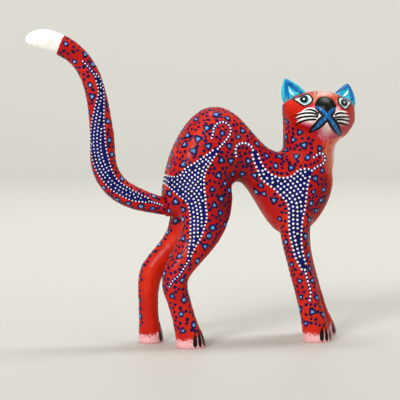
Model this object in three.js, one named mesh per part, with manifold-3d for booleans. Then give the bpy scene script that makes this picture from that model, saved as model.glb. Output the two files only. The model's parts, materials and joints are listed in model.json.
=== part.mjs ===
// A carved and painted wooden cat with an arched back, in the manner of Oaxacan folk carving.
// The torso, neck, head and four legs are one block of wood. The tail and the two ears are carved
// apart and plug into the block on round dowels, so that they come off for packing.
//
// Millimetres, +Z up. The cat walks towards +X and turns its face towards -Y. The origin is on the
// table, under the middle of the figure's box.

import * as THREE from "three";
import { mergeVertices } from "three/addons/utils/BufferGeometryUtils.js";
import Module from "manifold-3d";

const wasm = await Module();
wasm.setup();

// ---- driving dimensions ---------------------------------------------------------------------

const GAP = 0.3; // air left between two pieces that touch
const PEG_PLAY = 0.15; // radial play of a dowel in its hole
const BODY_SIDES = 24;
const LIMB_SIDES = 16;
const PEG_SIDES = 24;
const BIG = 400; // larger than the whole figure, for cutting tools

// Torso slices, from rump to breast: x, lowest z, highest z, half width, y of the middle.
const TORSO = [
  [-22.2, 84.5, 84.5, 0, 0],
  [-21.4, 78.5, 90.5, 5.5, 0],
  [-19.4, 75, 100, 9.5, 0],
  [-15.5, 73, 112.5, 13, 0],
  [-10, 72.5, 122.6, 15.4, 0],
  [-3.8, 72.5, 130.2, 16.6, 0],
  [3, 75, 134.6, 17, 0],
  [10.6, 81, 135.4, 15.8, 0],
  [17, 89, 133.4, 14, 0],
  [22.5, 93, 129.6, 12.6, 0],
  [29.7, 86.5, 122, 12.6, 0],
  [37.5, 74, 113.8, 13.8, 0],
  [45.5, 64, 109.5, 15, 0],
  [54, 60.5, 109.5, 16, 0],
  [62, 63, 109.5, 15.6, 0],
  [69.4, 69.5, 108.5, 13.6, 0],
  [74.8, 77.5, 105.5, 10.6, 0],
  [77.8, 85.5, 101, 7.4, 0],
  [79, 93, 93, 0, 0],
];

// Neck slices, from the chest up into the head: z, lowest x, highest x, half width, y of the middle.
const NECK = [
  [82, 64, 64, 0, 0],
  [86, 53, 75.6, 10, 0],
  [98, 50.5, 79.4, 13.2, 0],
  [110, 50.2, 80.4, 13.2, 0],
  [120, 50, 81.2, 13.2, -0.5],
  [130, 50, 82, 12.2, -1],
  [138, 53, 78, 9, -1],
  [142, 65, 65, 0, -1],
];

// The head, from the back of the skull to the nose: y, half width, half height, z of the middle.
const HEAD_AT = [70.2, -3, 129.6];
const HEAD_TILT = THREE.MathUtils.degToRad(-24); // nose up
const HEAD_ROLL = THREE.MathUtils.degToRad(4); // chest side ear lower
const HEAD_TURN = THREE.MathUtils.degToRad(-3);
const HEAD = [
  [17.5, 0, 0, -1],
  [16, 8.5, 7, -1],
  [12, 15.5, 10.8, -0.8],
  [5.5, 20, 13, -0.4],
  [-2, 21.2, 13.8, 0],
  [-8.5, 19.8, 13.4, -0.8],
  [-13.5, 16, 12, -2],
  [-17.5, 11.6, 10, -2.8],
  [-20.6, 7, 6.8, -3],
  [-22.4, 0, 0, -2.8],
];

// Each leg, from inside the body down through the floor: x, y, z, half length along x, half width along y.
const LEGS = {
  right_hind: [
    [1, -6, 116, 0, 0],
    [0, -7, 106, 11, 8],
    [0, -8, 89, 16.4, 10.2],
    [0.8, -9, 76, 14.8, 9.6],
    [-2.4, -10, 64, 11.6, 8.8],
    [-9.8, -10.8, 52.6, 8.8, 8],
    [-16, -11, 43.6, 7.7, 7.4],
    [-17.6, -11, 35.5, 7.2, 7],
    [-15.4, -11, 27, 6.6, 6.6],
    [-12.4, -11, 16.5, 6.4, 6.6],
    [-9.4, -11, 6, 7.8, 7.2],
    [-8, -11, -1.5, 8.6, 7.4],
    [-8, -11, -8, 8.2, 7],
  ],
  left_hind: [
    [-1, 6, 110, 0, 0],
    [-2, 7, 100, 10, 8],
    [-2, 8, 86, 15, 9.6],
    [-3.5, 9, 73, 12, 9.2],
    [-9, 10.5, 60, 9, 8.4],
    [-17.2, 11.5, 50.6, 7.4, 7.4],
    [-24.8, 12, 42, 7, 6.8],
    [-27.4, 12, 33.5, 6.2, 6.4],
    [-27.6, 12, 24, 5.7, 6],
    [-27.4, 12, 14, 5.7, 6],
    [-26.4, 12, 5, 6.9, 6.6],
    [-26, 12, -1.5, 7.2, 6.8],
    [-26, 12, -8, 7, 6.6],
  ],
  right_fore: [
    [58, -5, 102, 0, 0],
    [57, -6.5, 94, 10, 7.5],
    [55.6, -7.6, 82, 12, 9.2],
    [54.4, -8.6, 71, 10, 8.6],
    [53.8, -9.4, 61, 8, 7.8],
    [55.6, -10, 51, 7.3, 7.2],
    [58.2, -10, 40, 7, 6.8],
    [61.4, -10, 28, 6.8, 6.5],
    [64.4, -10, 16, 7, 6.5],
    [67, -10, 5.5, 8.1, 7.2],
    [67.8, -10, -1.5, 8.5, 7.4],
    [67.8, -10, -8, 8.2, 7],
  ],
  left_fore: [
    [60, 5, 102, 0, 0],
    [59.5, 6.5, 94, 10, 7.5],
    [60, 7.8, 82, 11, 9],
    [60.6, 9, 71, 9.4, 8.4],
    [61.8, 10.2, 60, 7.8, 7.6],
    [64, 11.2, 49, 7, 7],
    [67.4, 12, 38, 6.6, 6.6],
    [71, 12, 26, 6.4, 6.3],
    [74.8, 12, 14, 6.6, 6.3],
    [78.2, 12, 4.5, 7.8, 7],
    [79.2, 12, -1.5, 8.2, 7.2],
    [79.2, 12, -8, 8, 7],
  ],
};

// The tail, from its root on the rump to its tip: x, z, half thickness in the figure's plane.
const TAIL = [
  [-19.8, 79.1, 5.1],
  [-25, 80.2, 5.2],
  [-30.5, 81.7, 5.7],
  [-37, 83.9, 6.3],
  [-43.6, 86.9, 6.7],
  [-49, 91, 6.9],
  [-53, 96.3, 7.1],
  [-55.4, 102.2, 7.2],
  [-56.3, 109, 7.2],
  [-56.7, 120, 6.8],
  [-57.9, 131, 6.2],
  [-59.7, 141.6, 5.8],
  [-62.5, 151.4, 5.6],
  [-67, 159.6, 5.5],
  [-73, 165.6, 5.6],
  [-80, 169.7, 5.9],
  [-88, 172, 6.1],
  [-94, 172.4, 4.8],
  [-97.6, 171.6, 2.6],
  [-98.8, 171, 0],
];
const TAIL_FLATNESS = 0.94; // sideways thickness over thickness in the figure's plane
const TAIL_TIP_FLAT = { x: -90, z: 166.8, slope: -0.36, length: 22 }; // the straight cut under the tip

// The tail's dowel. Its axis leaves the rump backwards and a little upwards.
const TAIL_SEAT = new THREE.Vector3(-19.8, 0, 79.1);
const TAIL_RISE = THREE.MathUtils.degToRad(12);
const TAIL_PEG_R = 2.5;
const TAIL_PEG_IN_BODY = 12;
const TAIL_PEG_IN_TAIL = 9;
const TAIL_SEAT_R = 5.7; // round pocket that the tail's end stands in

// The ears, in the head's frame: middle of the foot, lean outwards, size against the drawn ear.
const EARS = {
  ear_right: { at: [-14.2, -1.5, 11], lean: -24, size: 1.04, peg: "ear_peg_right" },
  ear_left: { at: [15.4, -1.5, 11], lean: 16, size: 0.96, peg: "ear_peg_left" },
};
// One ear along its own +Z: z, half width, half thickness, y of the middle.
const EAR = [
  [-4, 7.2, 3.4, 0],
  [0, 7.1, 3.3, 0],
  [4, 5.7, 2.8, 0.1],
  [8, 3.5, 2, 0.3],
  [11, 1.4, 1.1, 0.5],
  [12.2, 0, 0, 0.6],
];
// The scoop in the front of an ear, in the same form.
const EAR_SCOOP = [
  [0.6, 0, 0, -3.2],
  [1.6, 3.6, 1.4, -3.1],
  [4, 3.7, 1.7, -2.9],
  [6.6, 2.1, 1.3, -2.4],
  [8.8, 0, 0, -1.8],
];
const EAR_PEG_R = 1.2;
const EAR_PEG_IN_HEAD = 5.5;
const EAR_PEG_IN_EAR = 3.6;
const EAR_PEG_BACK = 0.9; // the peg stands behind the ear's middle, clear of the scoop

// ---- solids ---------------------------------------------------------------------------------

function toSolid(geometry) {
  const bare = geometry.clone();
  bare.deleteAttribute("normal");
  bare.deleteAttribute("uv");
  const merged = mergeVertices(bare, 1e-4);
  return new wasm.Manifold(
    new wasm.Mesh({
      numProp: 3,
      vertProperties: new Float32Array(merged.attributes.position.array),
      triVerts: new Uint32Array(merged.index.array),
    }),
  );
}

function toGeometry(solid) {
  const made = solid.getMesh();
  const geometry = new THREE.BufferGeometry();
  geometry.setAttribute("position", new THREE.BufferAttribute(made.vertProperties, 3));
  geometry.setIndex(new THREE.BufferAttribute(made.triVerts, 1));
  geometry.computeVertexNormals();
  return geometry;
}

// A closed skin over rings. A ring is { centre, u, v } with two half-axis vectors; a ring of no size
// is a point, and an end ring of some size gets a flat cap.
function skin(rings, sides, squareness = 2) {
  const power = 2 / squareness;
  const shaped = (value) => Math.sign(value) * Math.abs(value) ** power;
  const points = [];
  const starts = rings.map((ring) => {
    const start = points.length;
    const single = ring.u.length() < 1e-6;
    for (let i = 0; i < (single ? 1 : sides); i++) {
      const angle = (2 * Math.PI * i) / sides;
      const point = ring.centre.clone();
      point.addScaledVector(ring.u, single ? 0 : shaped(Math.cos(angle)));
      point.addScaledVector(ring.v, single ? 0 : shaped(Math.sin(angle)));
      points.push(point);
    }
    return { start, single };
  });
  const faces = [];
  for (let k = 0; k + 1 < starts.length; k++) {
    const low = starts[k];
    const high = starts[k + 1];
    for (let i = 0; i < sides; i++) {
      const j = (i + 1) % sides;
      const a = low.start + (low.single ? 0 : i);
      const b = low.start + (low.single ? 0 : j);
      const c = high.start + (high.single ? 0 : j);
      const d = high.start + (high.single ? 0 : i);
      if (!low.single) faces.push(a, b, c);
      if (!high.single) faces.push(a, c, d);
    }
  }
  for (const [end, flip] of [[0, true], [starts.length - 1, false]]) {
    if (starts[end].single) continue;
    const middle = points.push(rings[end].centre.clone()) - 1;
    for (let i = 0; i < sides; i++) {
      const a = starts[end].start + i;
      const b = starts[end].start + ((i + 1) % sides);
      faces.push(middle, flip ? b : a, flip ? a : b);
    }
  }
  const geometry = new THREE.BufferGeometry().setFromPoints(points);
  geometry.setIndex(faces);
  const solid = toSolid(geometry);
  if (solid.volume() > 0) return geometry;
  geometry.setIndex(faces.reverse());
  return geometry;
}

// Rings from a table of stations, with steps rings to each span of a Catmull-Rom curve.
// ringOf turns one row of interpolated numbers into a ring.
function ringsOf(table, steps, ringOf) {
  const columns = table[0].length;
  const at = (row, column) => table[THREE.MathUtils.clamp(row, 0, table.length - 1)][column];
  const rows = [];
  for (let k = 0; k + 1 < table.length; k++)
    for (let s = 0; s < steps; s++) {
      const row = [];
      for (let c = 0; c < columns; c++)
        row.push(catmull(at(k - 1, c), at(k, c), at(k + 1, c), at(k + 2, c), s / steps));
      rows.push(row);
    }
  rows.push(table[table.length - 1]);
  return rows.map(ringOf);
}

function catmull(before, from, to, after, t) {
  const leave = (to - before) / 2;
  const arrive = (after - from) / 2;
  const square = t * t;
  const cube = square * t;
  return (
    (2 * cube - 3 * square + 1) * from +
    (cube - 2 * square + t) * leave +
    (3 * square - 2 * cube) * to +
    (cube - square) * arrive
  );
}

// Rings square to their path, with one half axis kept sideways (along y).
function turnAcross(rings) {
  return rings.map((ring, k) => {
    const before = rings[Math.max(k - 1, 0)].centre;
    const after = rings[Math.min(k + 1, rings.length - 1)].centre;
    const along = after.clone().sub(before).normalize();
    const side = new THREE.Vector3(0, 1, 0);
    side.addScaledVector(along, -side.dot(along)).normalize();
    const across = along.clone().cross(side);
    return {
      centre: ring.centre,
      u: across.multiplyScalar(Math.max(ring.u.length(), 0)),
      v: side.multiplyScalar(Math.max(ring.v.length(), 0)),
    };
  });
}

const vector = (x, y, z) => new THREE.Vector3(x, y, z);
const positive = (value) => Math.max(value, 0);

function torsoSkin() {
  const rings = ringsOf(TORSO, 2, ([x, low, high, width, y]) => ({
    centre: vector(x, y, (low + high) / 2),
    u: vector(0, 0, positive(high - low) / 2),
    v: vector(0, positive(width), 0),
  }));
  return skin(rings, BODY_SIDES, 2.15);
}

// The neck, and the head in its own frame. grow makes them larger all round, for cutting the ears'
// feet.
function neckSkin(grow = 0) {
  const rings = ringsOf(NECK, 2, ([z, low, high, width, y]) => ({
    centre: vector((low + high) / 2, y, z),
    u: vector(width > 0 ? (high - low) / 2 + grow : 0, 0, 0),
    v: vector(0, width > 0 ? width + grow : 0, 0),
  }));
  return skin(rings, BODY_SIDES);
}

function headSkin(grow = 0) {
  const rings = ringsOf(HEAD, 2, ([y, width, height, z]) => ({
    centre: vector(0, y, z),
    u: vector(width > 0 ? width + grow : 0, 0, 0),
    v: vector(0, 0, positive(height) + grow),
  }));
  return skin(rings, BODY_SIDES);
}

function legSkin(stations) {
  const rings = ringsOf(stations, 2, ([x, y, z, length, width]) => ({
    centre: vector(x, y, z),
    u: vector(positive(length), 0, 0),
    v: vector(0, positive(width), 0),
  }));
  return skin(turnAcross(rings), LIMB_SIDES);
}

function tailSkin() {
  const rings = ringsOf(TAIL, 2, ([x, z, thick]) => ({
    centre: vector(x, 0, z),
    u: vector(positive(thick), 0, 0),
    v: vector(0, positive(thick) * TAIL_FLATNESS, 0),
  }));
  return skin(turnAcross(rings), LIMB_SIDES);
}

function earSkin(stations, size) {
  const rings = ringsOf(stations, 2, ([z, width, thick, y]) => ({
    centre: vector(0, y, z).multiplyScalar(size),
    u: vector(positive(width) * size, 0, 0),
    v: vector(0, positive(thick) * size, 0),
  }));
  return skin(rings, LIMB_SIDES);
}

// A round bar of a radius from one distance to another along the local +Z of a placement.
function bar(radius, from, to, placement = new THREE.Matrix4()) {
  const geometry = new THREE.CylinderGeometry(radius, radius, to - from, PEG_SIDES);
  geometry.rotateX(Math.PI / 2);
  geometry.translate(0, 0, (from + to) / 2);
  return geometry.applyMatrix4(placement);
}

function floorBlock() {
  return new THREE.BoxGeometry(BIG, BIG, BIG).translate(0, 0, -BIG / 2);
}

// ---- placements -----------------------------------------------------------------------------

// Local +Z runs out of the rump along the tail's dowel.
function tailPegPlacement() {
  const axis = vector(-Math.cos(TAIL_RISE), 0, Math.sin(TAIL_RISE));
  const turn = new THREE.Quaternion().setFromUnitVectors(vector(0, 0, 1), axis);
  return new THREE.Matrix4().compose(TAIL_SEAT, turn, vector(1, 1, 1));
}

function headFrame() {
  const frame = new THREE.Group();
  frame.position.set(...HEAD_AT);
  frame.rotation.set(HEAD_TILT, HEAD_ROLL, HEAD_TURN, "ZYX");
  frame.updateMatrix();
  return frame;
}

function earFrame({ at, lean }) {
  const frame = new THREE.Group();
  frame.position.set(...at);
  frame.rotation.y = THREE.MathUtils.degToRad(lean);
  frame.updateMatrix();
  return frame;
}

function earPegPlacement() {
  return new THREE.Matrix4().makeTranslation(0, EAR_PEG_BACK, 0);
}

// ---- pieces ---------------------------------------------------------------------------------

const paint = {
  red: new THREE.MeshStandardMaterial({ color: 0xd8321c, roughness: 0.38, metalness: 0 }),
  turquoise: new THREE.MeshStandardMaterial({ color: 0x19a5c4, roughness: 0.38, metalness: 0 }),
  wood: new THREE.MeshStandardMaterial({ color: 0xd9b98a, roughness: 0.75, metalness: 0 }),
};

function piece(name, geometry, material) {
  const mesh = new THREE.Mesh(geometry, material);
  mesh.name = name;
  return mesh;
}

function makeBody(head, ears) {
  let solid = toSolid(torsoSkin()).add(toSolid(neckSkin()));
  solid = solid.add(toSolid(headSkin().applyMatrix4(head.matrix)));
  for (const stations of Object.values(LEGS)) solid = solid.add(toSolid(legSkin(stations)));
  solid = solid.subtract(toSolid(floorBlock()));
  const pegAxis = tailPegPlacement();
  solid = solid.subtract(toSolid(bar(TAIL_SEAT_R, -GAP, BIG / 8, pegAxis)));
  const tailHole = bar(TAIL_PEG_R + PEG_PLAY, -TAIL_PEG_IN_BODY - GAP, 1, pegAxis);
  solid = solid.subtract(toSolid(tailHole));
  for (const ear of ears) {
    const placement = head.matrix.clone().multiply(ear.matrix).multiply(earPegPlacement());
    const hole = bar(EAR_PEG_R + PEG_PLAY, -EAR_PEG_IN_HEAD - GAP, EAR_PEG_IN_HEAD, placement);
    solid = solid.subtract(toSolid(hole));
  }
  return piece("body", toGeometry(solid), paint.red);
}

function makeTail() {
  const pegAxis = tailPegPlacement();
  const hole = bar(TAIL_PEG_R + PEG_PLAY, -1, TAIL_PEG_IN_TAIL + GAP, pegAxis);
  const { x, z, slope, length } = TAIL_TIP_FLAT;
  const under = new THREE.BoxGeometry(length, length, length).translate(0, 0, -length / 2);
  under.rotateY(-Math.atan(slope)).translate(x, 0, z);
  const solid = toSolid(tailSkin()).subtract(toSolid(hole)).subtract(toSolid(under));
  return piece("tail", toGeometry(solid), paint.red);
}

function makeTailPeg() {
  const peg = bar(TAIL_PEG_R, -TAIL_PEG_IN_BODY, TAIL_PEG_IN_TAIL);
  const mesh = piece("tail_peg", peg, paint.wood);
  tailPegPlacement().decompose(mesh.position, mesh.quaternion, mesh.scale);
  return mesh;
}

function makeEar(name, { size }, ear, head) {
  const toEar = ear.matrix.clone().invert();
  const headHere = headSkin(GAP).applyMatrix4(toEar);
  const neckHere = neckSkin(GAP).applyMatrix4(toEar.multiply(head.matrix.clone().invert()));
  const hole = bar(EAR_PEG_R + PEG_PLAY, -EAR_PEG_IN_HEAD, EAR_PEG_IN_EAR + GAP, earPegPlacement());
  const solid = toSolid(earSkin(EAR, size))
    .subtract(toSolid(earSkin(EAR_SCOOP, size)))
    .subtract(toSolid(headHere))
    .subtract(toSolid(neckHere))
    .subtract(toSolid(hole));
  return piece(name, toGeometry(solid), paint.turquoise);
}

function makeEarPeg(name) {
  const mesh = piece(name, bar(EAR_PEG_R, -EAR_PEG_IN_HEAD, EAR_PEG_IN_EAR), paint.wood);
  mesh.position.y = EAR_PEG_BACK;
  return mesh;
}

// ---- assembly -------------------------------------------------------------------------------

const cat = new THREE.Group();
const head = headFrame();
const earFrames = Object.entries(EARS).map(([name, ear]) => {
  const frame = earFrame(ear);
  frame.add(makeEar(name, ear, frame, head), makeEarPeg(ear.peg));
  head.add(frame);
  return frame;
});
cat.add(makeBody(head, earFrames), makeTail(), makeTailPeg(), head);

// Stand the origin under the middle of the figure's box.
cat.updateMatrixWorld(true);
const box = new THREE.Box3().setFromObject(cat, true);
const middle = box.getCenter(new THREE.Vector3());
cat.position.set(-middle.x, -middle.y, -box.min.z);

export default cat;
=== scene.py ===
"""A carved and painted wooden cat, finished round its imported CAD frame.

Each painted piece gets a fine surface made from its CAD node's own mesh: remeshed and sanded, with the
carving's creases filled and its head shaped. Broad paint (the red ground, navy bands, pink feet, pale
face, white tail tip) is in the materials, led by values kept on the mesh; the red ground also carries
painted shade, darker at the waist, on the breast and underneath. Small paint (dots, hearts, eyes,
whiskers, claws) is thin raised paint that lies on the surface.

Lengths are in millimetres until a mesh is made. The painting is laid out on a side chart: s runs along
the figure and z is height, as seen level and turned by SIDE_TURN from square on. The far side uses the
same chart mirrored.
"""

import json
import math
import random
from collections import namedtuple

import bmesh
import bpy
import numpy as np
from mathutils import Matrix, Vector, noise
from mathutils.bvhtree import BVHTree


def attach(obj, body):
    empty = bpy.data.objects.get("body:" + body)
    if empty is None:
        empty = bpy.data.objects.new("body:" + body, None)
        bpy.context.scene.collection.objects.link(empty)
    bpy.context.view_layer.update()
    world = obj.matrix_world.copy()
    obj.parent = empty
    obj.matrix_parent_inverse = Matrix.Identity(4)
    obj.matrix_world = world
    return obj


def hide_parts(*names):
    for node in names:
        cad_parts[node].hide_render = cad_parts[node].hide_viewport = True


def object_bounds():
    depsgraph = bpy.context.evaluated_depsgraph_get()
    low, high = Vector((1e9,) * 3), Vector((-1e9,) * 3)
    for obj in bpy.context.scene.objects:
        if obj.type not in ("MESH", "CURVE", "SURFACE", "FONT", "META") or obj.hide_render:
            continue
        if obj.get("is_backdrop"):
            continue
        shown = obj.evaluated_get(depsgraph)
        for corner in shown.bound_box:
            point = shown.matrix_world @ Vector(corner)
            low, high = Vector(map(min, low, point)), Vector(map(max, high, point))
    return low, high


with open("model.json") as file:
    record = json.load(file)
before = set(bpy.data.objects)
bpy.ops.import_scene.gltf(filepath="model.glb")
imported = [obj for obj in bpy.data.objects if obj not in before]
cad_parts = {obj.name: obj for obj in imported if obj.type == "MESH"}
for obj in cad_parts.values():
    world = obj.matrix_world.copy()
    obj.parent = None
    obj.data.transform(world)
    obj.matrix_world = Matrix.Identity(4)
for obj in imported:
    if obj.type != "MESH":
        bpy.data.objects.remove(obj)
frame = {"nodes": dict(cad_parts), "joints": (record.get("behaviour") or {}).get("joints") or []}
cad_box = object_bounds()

MM = 0.001
rng = random.Random(7)
joints = {joint["name"]: joint for joint in frame["joints"]}

# ---- the side chart ----

SIDE_TURN = math.radians(-15)
MIDDLE_Y = 3.3  # the plane between the two sides
HIND_FORE_X = 25  # hind quarters are behind it
BREAST_X = 58  # the neck's and breast's front is ahead of it
HEAD_X, HEAD_Z = 42, 108  # the head is ahead of and above them
FACE_X, FACE_Z = 45, 110  # and its painted face ahead of and above these
# The far legs stand further back and further forward than the near ones: z, hind shift, fore shift.
LEG_STEP = np.array([
    (0, -18, 11.5), (14, -16, 10), (24, -13, 9), (34, -10, 9), (50, -7.5, 8), (62, -6, 8), (73, -4, 6),
    (86, 0, 0),
])


class Side:
    """One side of the cat as a flat chart. near is the side that the face turns to."""

    def __init__(self, near, stepped=True):
        self.sign = -1 if near else 1
        self.stepped = stepped and not near
        self.out = np.array([math.sin(SIDE_TURN), self.sign * math.cos(SIDE_TURN), 0])
        self.along = np.array([math.cos(SIDE_TURN), -self.sign * math.sin(SIDE_TURN), 0])

    def shift(self, x, z):
        """How far along a leg stands from its place on the chart."""
        if not self.stepped:
            return np.zeros_like(z)
        heights, hind, fore = LEG_STEP.T
        return np.where(x < HIND_FORE_X, np.interp(z, heights, hind), np.interp(z, heights, fore))

    def chart(self, points):
        """Chart places (s, z) of 3-D points."""
        x, _, z = points.T
        s = (points - np.array([0, MIDDLE_Y, 0])) @ self.along + MIDDLE_Y * math.sin(SIDE_TURN)
        return np.stack([s - self.shift(x, z), z], 1)

    def point(self, s, z, out=0.0):
        """The 3-D point at (s, z), out millimetres towards the viewer from the middle plane."""
        s = s - MIDDLE_Y * math.sin(SIDE_TURN)
        s = s + float(self.shift(s, z))
        place = self.along * s + self.out * out + np.array([0, MIDDLE_Y, 0])
        return Vector((place[0], place[1], z))


NEAR = Side(True)
FAR = Side(False)
FAR_TAIL = Side(False, stepped=False)

# ---- the painting, on the side chart: (s, z) ----

HAUNCH_BAND = [
    (-23, 96.5), (-18.5, 97), (-12.5, 96.5), (-9, 97.5), (-6.5, 101), (-1.5, 104), (3, 107), (7.5, 110),
    (11, 112.8), (13.3, 111.5), (10.5, 108), (8, 104), (6, 101), (4.5, 96.5), (4.5, 91), (5.2, 85),
    (5.4, 80), (6, 74.5), (4.5, 68), (2.5, 62.5), (0, 58), (-2.5, 53.5), (-3.6, 49), (-5.4, 49),
    (-4.8, 53), (-3.7, 60.5), (-3.5, 67), (-3.5, 73.5), (-4.5, 80), (-6, 83), (-9.5, 85.5), (-13.5, 89),
    (-18.5, 92.5), (-23, 93.5),
]
HAUNCH_CURL = [
    (12, 112), (14.5, 114.5), (17.5, 118), (19.2, 121), (18.7, 124.5), (15.8, 126.8), (12.2, 126.3),
    (9.8, 123.8), (9.4, 121), (8.5, 118),
]
HAUNCH_END = [(-4.3, 50), (-6.5, 46.5), (-9.5, 42), (-13, 39), (-15, 35.5)]
FORE_BAND = [
    (32, 111.5), (34.5, 109.5), (36, 105.5), (38.5, 101), (41.5, 98), (45, 96), (49, 95.2), (54, 96),
    (58, 99.2), (62, 100.2), (66.5, 99.3), (65, 96), (63.6, 91), (62.8, 85), (62, 78), (60.7, 72),
    (60, 65), (60, 58), (61, 51.5), (62.7, 45.5), (63, 41), (61.2, 41), (59, 44.5), (56.5, 49.5),
    (54.6, 56), (53, 63), (52.5, 70), (52.5, 77), (51.5, 81), (48, 85), (44.5, 88.5), (40.5, 91.5),
    (36.5, 95), (34.5, 100), (32.5, 104.5), (31.5, 108.5),
]
FORE_CURL = [(32, 111), (31, 113), (28.5, 114.7), (25.8, 115), (23, 113.8), (22, 111), (22.5, 107.5)]
FORE_BRANCH = [
    (66, 99), (69, 101.2), (72.5, 102.8), (73.8, 105.2), (73, 108), (70.5, 108.8), (67, 106.5),
]
FORE_END = [(62, 42.5), (63.5, 36.5), (65.2, 30.5), (65.3, 27), (64.8, 24.5)]
TAIL_BAND = [
    (-57, 155.5), (-53.3, 151.5), (-51.6, 147), (-51, 141), (-51, 134), (-51, 127), (-50.5, 120),
    (-50, 114), (-49, 108.5), (-47, 101), (-44.5, 96), (-40.5, 92.2), (-35.5, 89), (-30, 86),
    (-25.5, 83.6), (-25.5, 81.6), (-30, 82.2), (-36, 83.2), (-42.5, 86.3), (-48, 90), (-52, 94.5),
    (-55.5, 100), (-58, 107), (-59, 115), (-58.7, 122), (-57.5, 129.5), (-56, 136), (-54.4, 142),
    (-54.6, 147), (-56.3, 152),
]
TAIL_START = [(-62.5, 160.5), (-60, 158), (-57.5, 155), (-55.5, 152)]
TAIL_END = [(-26.5, 82.6), (-22, 81.3), (-19, 80)]
TAIL_TIP = [(-72.3, 175.5), (-77.2, 163.5)]  # the line that the white tip ends on

# A navy band: its outline, the thin lines that run on from it, where the edge starts that its rows of
# dots keep to, the dots' pitch, and their radius at the rump and further ahead.
Band = namedtuple("Band", "outline lines edge_start pitch radii")
HAUNCH = Band(HAUNCH_BAND, [HAUNCH_CURL, HAUNCH_END], (-5.4, 49), 2.1, (0.48, 0.62))
FORE = Band(FORE_BAND, [FORE_CURL, FORE_BRANCH, FORE_END], (61.2, 41), 2.4, (0.7, 0.7))
TAIL = Band(TAIL_BAND, [TAIL_START, TAIL_END], (-25.5, 81.6), 1.95, (0.47, 0.47))
RADII_X = (-20, 0)  # where the dots' two radii hold

HEARTS = {
    "rump": [
        (0, 128.5), (11, 131), (17.5, 129), (-7.5, 123), (6, 123.5), (-5, 119.5), (1, 117.5),
        (-11, 116.5), (-6.5, 114.5), (-1.5, 111), (6.5, 113.5), (-14, 108), (-7.5, 103.5),
        (-15, 102), (14.5, 120.5),
    ],
    "flank": [
        (26, 122), (23.5, 118.5), (18.5, 113.5), (34.5, 114.5), (14, 105.5), (19.5, 105),
        (29.5, 105), (18, 101.5), (12.5, 97), (20.5, 97.5), (26, 97.5), (33, 96.5), (16, 92.5),
    ],
    "thigh": [
        (9, 89.5), (18.5, 88.5), (14, 84), (10, 80.5), (13.5, 76), (11.5, 72), (9, 68), (7, 63.5),
        (5, 57.5), (0.5, 49.5),
    ],
    "hock": [
        (-15, 87), (-11.5, 82.5), (-15.5, 77), (-7.5, 78), (-7.5, 72.5), (-12, 70.5), (-7.5, 62),
        (-9.5, 52.5), (-8, 39), (-9.5, 34.5), (-13.5, 30), (-7, 28), (-8.5, 20), (-1.5, 13.5),
        (-7.5, 10.5),
    ],
    "neck": [
        (40, 107.5), (45, 102), (47.5, 107), (51.5, 110.5), (51.5, 118), (59, 121), (51.8, 127),
        (49.4, 135.2), (55.5, 116.5), (61.5, 113.5), (70.5, 111.5), (57, 107), (63.5, 106.5),
        (54, 100.8),
    ],
    "breast": [
        (72, 99), (68, 94.5), (73, 88), (66.8, 87), (71.5, 82), (65.5, 80.5), (68.5, 76), (64.5, 71),
    ],
    "chest": [
        (36.5, 91), (34, 87), (38.5, 86), (42, 86.5), (44, 82.5), (46.5, 79.5), (47.5, 71.5),
        (51, 58.5), (54.5, 45.5), (59, 36), (66.5, 36), (65, 43), (60, 26.5), (69, 26), (66.5, 18),
        (73, 16),
    ],
}
TAIL_HEARTS = [
    (-71.5, 170), (-70.5, 165.5), (-67, 160.3), (-58.6, 147.5), (-57.6, 141), (-49, 127.5),
    (-49, 123), (-48.2, 117), (-47, 109), (-51.5, 90.5), (-44, 83.8), (-38, 81.5), (-41.5, 95.5),
]
FACE_EDGE = [
    (49, 139), (49.6, 134.5), (52.4, 130.6), (56.4, 126.2), (61.2, 122.8), (66, 119.6), (69.6, 115.8),
    (75.4, 113.4), (82, 113), (94, 118), (98, 130), (97, 146), (74, 149), (52, 146),
]
# The face's pale fields: s, z, half length, half height, strength.
PALE_FIELDS = [
    (73, 130, 9, 5, 0.88), (74.2, 122.5, 6, 4, 0.62), (66, 134.5, 3, 2.5, 0.4),
    (79.5, 134.5, 2.5, 2.5, 0.45),
    (84, 127, 6, 4.5, 0.4), (62.5, 128, 6.5, 3.5, 0.62),
    (73, 117, 9, 4, 0.36),
]
# The forehead's salmon fields, likewise.
BROW_FIELDS = [(72.5, 143, 9.5, 3.4, 0.95), (66.8, 138, 2.4, 3, 0.6), (79.4, 137.4, 2, 3, 0.6)]
# Painted shade: where the red is darkened to stand in for shade, at the waist, the thigh, the breast and
# the hind leg: s, z, half length, half height, strength.
PAINTED_SHADE_FIELDS = [
    (26, 100, 17, 20, 0.6), (14, 80, 6, 14, 0.8), (73, 86, 9, 18, 0.75), (-16, 76, 8, 10, 0.3),
]
# Shaping of the face: s, z, half length, half height, push out.
FACE_SHAPE = [
    (73, 136.5, 5, 4.5, 1.6), (61.5, 139.5, 5, 3.4, -0.9), (84.5, 138, 4.6, 3.4, -0.8),
    (73.5, 128, 9.5, 8, 0.9), (69, 122, 3, 5, -0.35), (72, 144.5, 8, 3, -0.4), (56, 132, 5, 5, 0.5),
]
# Shaping of the head's corners: s, z, half length, half height, push ahead, up and out.
HEAD_CORNERS = [
    (90, 137.5, 5, 5, 0.5, 1.2, 1.8), (49, 137.5, 4.5, 5, -3.4, 2.4, 1.2),
    (83, 118, 6, 6, 1.4, -1.0, -0.2), (92, 131, 4, 4, -0.8, 0, 0),
]

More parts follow.
